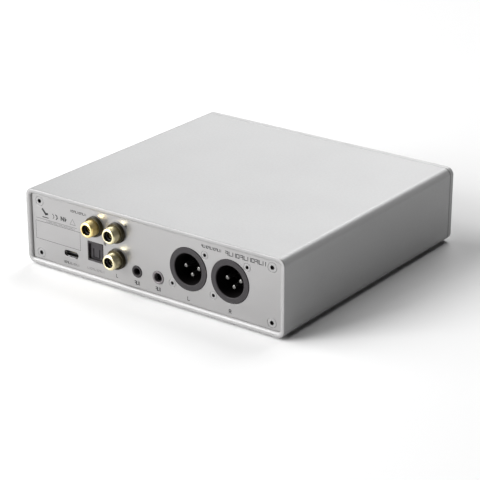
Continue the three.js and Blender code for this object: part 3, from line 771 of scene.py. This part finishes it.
def usb_c_tongue():
    """Tongue on a base, with a row of contacts on each side."""
    low, high = span("usb_c_tongue")
    at = middle("usb_c_shell")
    tongue_w, tongue_t = 6.7, 0.7
    bm = bmesh.new()
    block(bm, (at.x - tongue_w / 2, low.y + 1, at.z - tongue_t / 2),
          (at.x + tongue_w / 2, high.y, at.z + tongue_t / 2), 0.2)
    base = bmesh.new()
    block(base, (low.x, low.y, low.z), (high.x, low.y + 1.8, high.z), 0.1)
    bm = boolean(bm, base, "UNION")
    piece("usb_c_tongue_fine", bm, BLACK, ["usb_c_tongue"])

    contacts, pitch = 12, 0.5
    half_w, half_t, lift = 0.125, 0.02, 0.01
    back, front = high.y - 2.6, high.y - 0.4
    bm = bmesh.new()
    for i in range(contacts):
        x = at.x + (i - (contacts - 1) / 2) * pitch
        for side in (1, -1):
            z = at.z + side * (tongue_t / 2 + lift)
            block(bm, (x - half_w, back, z - half_t), (x + half_w, front, z + half_t), 0.005)
    piece("usb_c_contacts", bm, GOLD)


def jack(name, bore, ring_look, body_look):
    """Front ring on a moulded body with a round bore."""
    low, high = span(f"{name}_ring")
    at, outer, chamfer = (low + high) / 2, radius_of(f"{name}_ring"), 0.35
    corners = [
        (bore, low.y),
        (outer, low.y),
        (outer, high.y),
        (bore + chamfer, high.y),
        (bore, high.y - chamfer),
    ]
    bm = bmesh.new()
    turned(bm, softened(corners, [0.1, 0.1, 0.25, 0.12, 0.12], closed=True), at, steps=12)
    piece(f"{name}_ring_fine", bm, ring_look, [f"{name}_ring"])

    low, high = span(f"{name}_body")
    body = rectangle((low.x + high.x) / 2, (low.z + high.z) / 2, high.x - low.x, high.z - low.z, 0.6, 12)
    hole = circle(at.x, at.z, bore, 12)
    bm = bmesh.new()
    along_y(bm, [
        (body, -0.2, low.y),
        (body, 0, low.y + 0.2),
        (body, 0, high.y - 0.2),
        (body, -0.2, high.y),
        (hole, 0.1, high.y),
        (hole, 0, high.y - 0.1),
        (hole, 0, low.y + 1.5),
    ])
    piece(f"{name}_body_fine", bm, body_look, [f"{name}_body"])


# ---------------------------------------------------------------- front

WINDOW_T = 1.2
OPENING_W, OPENING_H = 54, 16
SHAFT_HOLE_R = 3.3


def front_fascia():
    """Front plate with an opening for the display, a pocket for its window and a hole for the shaft."""
    low, high = span("front_fascia")
    window_low, window_high = span("display_window")
    window = (window_low + window_high) / 2
    shaft = middle("encoder_shaft")
    gap, soft = 0.2, 0.25
    pocket_w, pocket_h = window_high.x - window_low.x + gap, window_high.z - window_low.z + gap
    pocket_floor = window_low.y + WINDOW_T + 0.3
    edge = rectangle(CASE.x, CASE.z, high.x - low.x, high.z - low.z, CORNER_R, steps=10)
    shaft_hole = circle(shaft.x, shaft.z, SHAFT_HOLE_R)
    pocket = rectangle(window.x, window.z, pocket_w, pocket_h, 1.8)
    opening = rectangle(window.x, window.z, OPENING_W, OPENING_H, 1)
    bm = bmesh.new()
    plate(bm, [edge, opening, shaft_hole], high.y, low.y, edge=EDGE, hole_edge=0.15)
    cutter = bmesh.new()
    along_y(cutter, [
        (pocket, soft, low.y - 1),
        (pocket, soft, low.y),
        (pocket, 0, low.y + soft),
        (pocket, 0, pocket_floor),
    ])
    bm = boolean(bm, cutter, "DIFFERENCE")
    piece("front_fascia_fine", bm, SILVER, ["front_fascia"])


def display_window():
    """Glass with a rounded front edge."""
    low, high = span("display_window")
    at = (low + high) / 2
    glass = rectangle(at.x, at.z, high.x - low.x, high.z - low.z, 1.7)
    bm = bmesh.new()
    along_y(bm, [
        (glass, -0.12, high.y),
        (glass, 0, high.y - 0.12),
        (glass, 0, low.y + 0.2),
        (glass, -0.06, low.y + 0.06),
        (glass, -0.2, low.y),
    ])
    piece("display_window_fine", bm, GLASS, ["display_window"])


def pointer_block(width, front, back, low, high, edge):
    """A block at the top of the knob's face, placed from the face in Y and from its centre in Z."""
    at, face = middle("volume_knob"), span("volume_knob")[0].y
    left, right = at.x - width / 2, at.x + width / 2
    bm = bmesh.new()
    block(bm, (left, face + front, at.z + low), (right, face + back, at.z + high), edge)
    return bm


def volume_knob():
    """Turned knob with a fine knurl round its waist and a pointer groove at the top of its face."""
    low, high = span("volume_knob")
    at, radius = middle("volume_knob"), radius_of("volume_knob")
    skirt, hub, pocket, bore, seat = 12.4, 6, 3, 3.3, 3.7
    face, back = low.y, high.y
    knurl_from, knurl_to, knurl_deep, teeth = face + 2.2, back - 1.6, 0.22, 96
    corners = [
        (0, face), (radius - 0.1, face), (radius, knurl_from - 0.5), (radius, knurl_from),
        (radius, knurl_to), (radius, back), (skirt, back), (skirt, back - pocket),
        (hub, back - pocket), (hub, back), (bore, back), (bore, face + seat), (0, face + seat),
    ]
    radii = [0, 0.7, 0, 0, 0, 0.4, 0.2, 0.3, 0.3, 0.3, 0.2, 0.1, 0]
    rings = []
    for reach, y in softened(corners, radii, steps=4):
        ring = []
        on_knurl = reach > radius - 0.01 and knurl_from <= y <= knurl_to
        for i, point in enumerate(ring_about(at, reach, y, 2 * teeth)):
            cut = knurl_deep if on_knurl and i % 2 else 0
            out = Vector((point[0] - at.x, 0, point[2] - at.z))
            ring.append(tuple(Vector(point) - out.normalized() * cut))
        rings.append(ring)
    bm = bmesh.new()
    loft(bm, rings, ends="open")
    groove = pointer_block(width=1.2, front=-1, back=0.5, low=7.7, high=12.5, edge=0.15)
    bm = boolean(bm, groove, "DIFFERENCE")
    piece("volume_knob_fine", bm, SILVER, ["volume_knob"], body="knob")
    pointer = pointer_block(width=1.1, front=0.2, back=0.45, low=7.8, high=12.4, edge=0.05)
    piece("volume_knob_pointer", pointer, INK, body="knob")


def encoder_shaft():
    """Round shaft on the knob's own axis."""
    low, high = span("encoder_shaft")
    radius = radius_of("encoder_shaft")
    corners = [(0, low.y), (radius, low.y), (radius, high.y), (0, high.y)]
    bm = bmesh.new()
    turned(bm, softened(corners, [0, 0.3, 0.3, 0]), middle("volume_knob"), steps=10, ends="open")
    piece("encoder_shaft_fine", bm, STEEL, ["encoder_shaft"], body="knob")


# ---------------------------------------------------------------- printed marks

INK_T = 0.02
INK_LIFT = 0.004


def stroke(bm, points, width):
    """A printed line of that width along (x, z) points on the panel, as seen from behind it."""
    for (x0, z0), (x1, z1) in zip(points, points[1:]):
        along = Vector((x1 - x0, z1 - z0)).normalized() * (width / 2)
        over = Vector((-along.y, along.x))
        ends = [Vector((x0, z0)) - along, Vector((x1, z1)) + along]
        ring = [ends[0] - over, ends[1] - over, ends[1] + over, ends[0] + over]
        loft(bm, [[(p.x, PANEL_FACE + INK_LIFT + y, p.y) for p in ring] for y in (0, INK_T)])


def legend(bm, x, z, width, height, count):
    """A row of plain printed blocks and bars where a connector's name would be."""
    pitch = width / count
    line, margin, share = height * 0.22, 0.08, 0.68  # shares of the height and of the pitch
    for i in range(count):
        left = x + width / 2 - (i + margin) * pitch
        right = left - pitch * share
        low, high = z - height / 2, z + height / 2
        shapes = (
            [[(left, low), (left, high), (right, high), (right, low), (left, low)]],
            [[(left, low), (left, high)], [(right, low), (right, high)]],
            [[(left, high), (left, low), (right, low)]],
            [[(left, high), (right, high), (right, low)], [(left, z), (right, z)]],
        )
        for points in shapes[(i * 3 + count) % len(shapes)]:
            stroke(bm, points, line)


LETTER_LINE = 0.2  # the width of a letter's line, with its height as 1
LETTERS = {  # lines from the letter's lower left corner, with its height as 1
    "L": [(0, 1), (0, 0), (0.62, 0)],
    "R": [
        (0, 0), (0, 1), (0.5, 1), (0.62, 0.85), (0.62, 0.62), (0.5, 0.48), (0, 0.48), (0.3, 0.48),
        (0.66, 0),
    ],
}


def letter(bm, text, x, z, height):
    points = [(x + (0.31 - u) * height, z + (v - 0.5) * height) for u, v in LETTERS[text]]
    stroke(bm, points, height * LETTER_LINE)


def label_marks(ink, pale):
    """An empty label frame, with plain shapes above it where other marks would be."""
    left, right = 75.1, 45.5
    low, high = CASE.z - 6.5, CASE.z + 3.2
    stroke(ink, [(left, low), (left, high), (right, high), (right, low), (left, low)], 0.16)
    stroke(pale, [(left - 0.6, high + 1.6), (right + 2.3, high + 1.6)], 0.3)
    legend(pale, (left + right) / 2 - 2, high + 0.75, 19, 0.6, 22)

    row = high + 4.6
    stroke(ink, [(70.1, row + 2.2), (68.1, row + 0.1)], 1.15)
    stroke(ink, [(68.1, row + 0.1), (67.1, row + 0.3)], 1.15)
    stroke(ink, [(70.2, row - 1.8), (66.6, row - 1.8)], 0.5)
    for x, width in ((62.9, 0.3), (60.7, 0.55)):
        bracket = [(x + 0.7, row + 1.1), (x, row + 0.7), (x - 0.3, row - 0.4), (x + 0.4, row - 1.2)]
        stroke(ink, bracket, width)
    stroke(ink, [(57.8, row - 0.8), (57.8, row + 0.9), (56.2, row - 0.8), (56.2, row + 0.9)], 0.6)
    stroke(ink, [(55.2, row + 0.9), (55.2, row - 0.8), (54.5, row + 0.2)], 0.6)
    stroke(pale, [(52, row - 1.6), (50.2, row + 1.4), (48.4, row - 1.6), (52, row - 1.6)], 0.28)


def connector_marks(ink, pale):
    """A row of shapes by each connector, and the letter of each channel."""
    coaxial, lower = middle("rca_coaxial_shell"), middle("rca_left_shell")
    usb, port = middle("usb_c_shell"), optical_centre()
    legend(ink, coaxial.x + 10.7, coaxial.z + 4.7, 10.4, 1.05, 9)
    legend(ink, usb.x + 2.6, usb.z - 5, 5, 1.15, 5)
    legend(pale, usb.x - 2.6, usb.z - 5, 5, 1.0, 6)
    legend(pale, port.x + 0.1, port.z - 9.5, 11.2, 0.95, 10)
    letter(ink, "R", coaxial.x - 6.2, port.z + 6.2, 1.7)
    letter(ink, "R", lower.x - 5.9, coaxial.z + 4.7, 1.6)
    letter(ink, "L", lower.x + 0.4, lower.z - 9.2, 1.6)
    for name in JACKS:
        socket = middle(f"{name}_ring")
        legend(ink, socket.x, socket.z - 6, 3.1, 1.7, 3)
    for channel, text in zip(CHANNELS, "LR"):
        centre = xlr_centre(channel)
        letter(ink, text, centre.x, centre.z - 15.4, 1.8)
    # Two rows along the top of the panel.
    legend(ink, -36.75, 36.2, 11.9, 1.2, 11)
    legend(ink, -56.9, 36, 23.9, 1.8, 11)


def printed_marks():
    """Plain marks in place of the lettering. X runs to the left as the panel is looked at."""
    ink, pale = bmesh.new(), bmesh.new()
    label_marks(ink, pale)
    connector_marks(ink, pale)
    piece("panel_print", ink, INK)
    piece("panel_print_pale", pale, PALE_INK)


# ---------------------------------------------------------------- what stays as packed

PACKED = {
    BOARD: ["main_board", "front_board"],
    CHIP: ["dac_chip", "usb_receiver_chip", "output_relay", "display_module"],
    CAN: ["clock_oscillator", "filter_capacitor_1", "filter_capacitor_2"],
    BRACKET: ["front_bracket"],
    RIBBON: ["ribbon_cable"],
    BLACK: ["encoder_housing"],
    STEEL: ["encoder_plunger"],
}


def packed_nodes():
    """The looks of the nodes that show as packed."""
    for finish, nodes in PACKED.items():
        for node in nodes:
            mesh = frame["nodes"][node].data
            mesh.materials.clear()
            mesh.materials.append(finish.material)


# ---------------------------------------------------------------- studio

CAMERA_TURN = math.radians(36.357)  # from +Y towards -X
CAMERA_RISE = math.radians(22.307)
CAMERA_FAR = 928.5
CAMERA_LENS, CAMERA_SENSOR = 134.73, 36
AIM_RIGHT, AIM_UP = -1.42, -13.48  # from the middle of the case, in the picture's plane


def camera():
    """The camera, as solved from the case's straight edges and corners in the photo."""
    turn, rise = CAMERA_TURN, CAMERA_RISE
    back = Vector((-math.sin(turn) * math.cos(rise), math.cos(turn) * math.cos(rise), math.sin(rise)))
    right = Vector((-math.cos(turn), -math.sin(turn), 0))
    up = back.cross(right)
    target = CASE + right * AIM_RIGHT + up * AIM_UP
    data = bpy.data.cameras.new("camera")
    data.lens = CAMERA_LENS
    data.sensor_width = CAMERA_SENSOR
    data.clip_start, data.clip_end = 0.01, 30
    obj = bpy.data.objects.new("camera", data)
    bpy.context.scene.collection.objects.link(obj)
    obj.location = (target + back * CAMERA_FAR) * MM
    obj.rotation_mode = "QUATERNION"
    obj.rotation_quaternion = (-back).to_track_quat("-Z", "Y")
    bpy.context.scene.camera = obj


Softbox = namedtuple("Softbox", "name heading rise size power falls_on")
LIGHT_DISTANCE = 1.8  # metres from the middle of the case

# Headings are degrees from +X towards +Y, rises are degrees above the horizon, sizes are metres and
# powers are watts. A light falls on everything, on the object without the floor, or on the RCA
# shells alone.
SOFTBOXES = (
    Softbox("key", 30, 40, 1.5, 30, "everything"),
    Softbox("low_rear", 60, 20, 0.9, 34, "everything"),
    Softbox("high_front", 275, 50, 1.2, 17, "everything"),
    Softbox("side_fill", 205, 12, 1.2, 0.9, "everything"),
    Softbox("top_sheen", 300, 30, 1.2, 12.3, "object"),
    Softbox("side_sheen", 236, 20, 1.2, 4.5, "object"),
    Softbox("gold_glint", 56, 26, 0.9, 40, "gold"),
)


def softbox(spec):
    """A square area light aimed at the case."""
    data = bpy.data.lights.new(spec.name, "AREA")
    data.shape = "SQUARE"
    data.size = spec.size
    data.energy = spec.power
    obj = bpy.data.objects.new(spec.name, data)
    bpy.context.scene.collection.objects.link(obj)
    heading, rise = math.radians(spec.heading), math.radians(spec.rise)
    away = Vector((math.cos(heading) * math.cos(rise), math.sin(heading) * math.cos(rise), math.sin(rise)))
    obj.location = CASE * MM + away * LIGHT_DISTANCE
    obj.rotation_mode = "QUATERNION"
    obj.rotation_quaternion = away.to_track_quat("Z", "Y")
    if spec.falls_on != "everything":
        linked = bpy.data.collections.new(f"{spec.name}_objects")
        if spec.falls_on == "object":
            linked.objects.link(bpy.data.objects["studio_floor"])
            linked.collection_objects[0].light_linking.link_state = "EXCLUDE"
        else:
            for use in RCA_USES:
                linked.objects.link(bpy.data.objects[f"rca_{use}_shell_fine"])
        obj.light_linking.receiver_collection = linked


FLOOR_RADIUS = 12  # metres
FLOOR_SIDES = 64
FLOOR_CLOUD = 400  # millimetres
FLOOR_SHADES = (0.9, 0.9, 0.9), (0.92, 0.92, 0.92)


def floor():
    bm = bmesh.new()
    ring = ring_about(Vector((0, 0, 0)), FLOOR_RADIUS, 0, FLOOR_SIDES)
    bm.faces.new([bm.verts.new((x, z, 0)) for x, _, z in ring])
    material, tree, surface = shader_tree("studio_floor")
    surface.inputs["Roughness"].default_value = 0.7
    shades = blended(tree, mapped(tree, noise(tree, FLOOR_CLOUD, 2), 0, 1), *FLOOR_SHADES)
    tree.links.new(shades, surface.inputs["Base Color"])
    mesh = bpy.data.meshes.new("studio_floor")
    bm.to_mesh(mesh)
    bm.free()
    mesh.materials.append(material)
    obj = bpy.data.objects.new("studio_floor", mesh)
    bpy.context.scene.collection.objects.link(obj)


def studio():
    """Softboxes round the case, under a sky that gives no light of its own."""
    scene = bpy.context.scene
    scene.view_settings.view_transform = "Standard"
    world = bpy.data.worlds.new("studio")
    world.use_nodes = True
    world.node_tree.nodes["Background"].inputs["Strength"].default_value = 0.0
    scene.world = world
    for spec in SOFTBOXES:
        softbox(spec)


case_sleeve()
rear_panel()
for i in CORNERS:
    screw(f"rear_panel_screw_{i}")
    screw(f"front_bracket_screw_{i}", facing=-1)
for node in frame["nodes"]:
    if node.startswith("foot_"):
        foot(node)
for channel in CHANNELS:
    xlr(channel)
    for i in (1, 2):
        screw(f"xlr_{channel}_screw_{i}")
for use in RCA_USES:
    rca(use, GOLD if use == "coaxial" else PALE_GOLD)
optical_housing()
optical_shutter()
usb_c_shell()
usb_c_tongue()
# The 3.5 mm jack's body takes the near-black finish, as painted shade in its bore.
jack("jack_3_5", bore=1.8, ring_look=CHARCOAL, body_look=HOLLOW_SHADE)
jack("jack_4_4", bore=2.25, ring_look=JACK, body_look=CHARCOAL)
front_fascia()
display_window()
volume_knob()
encoder_shaft()
printed_marks()
packed_nodes()
floor()
studio()
camera()
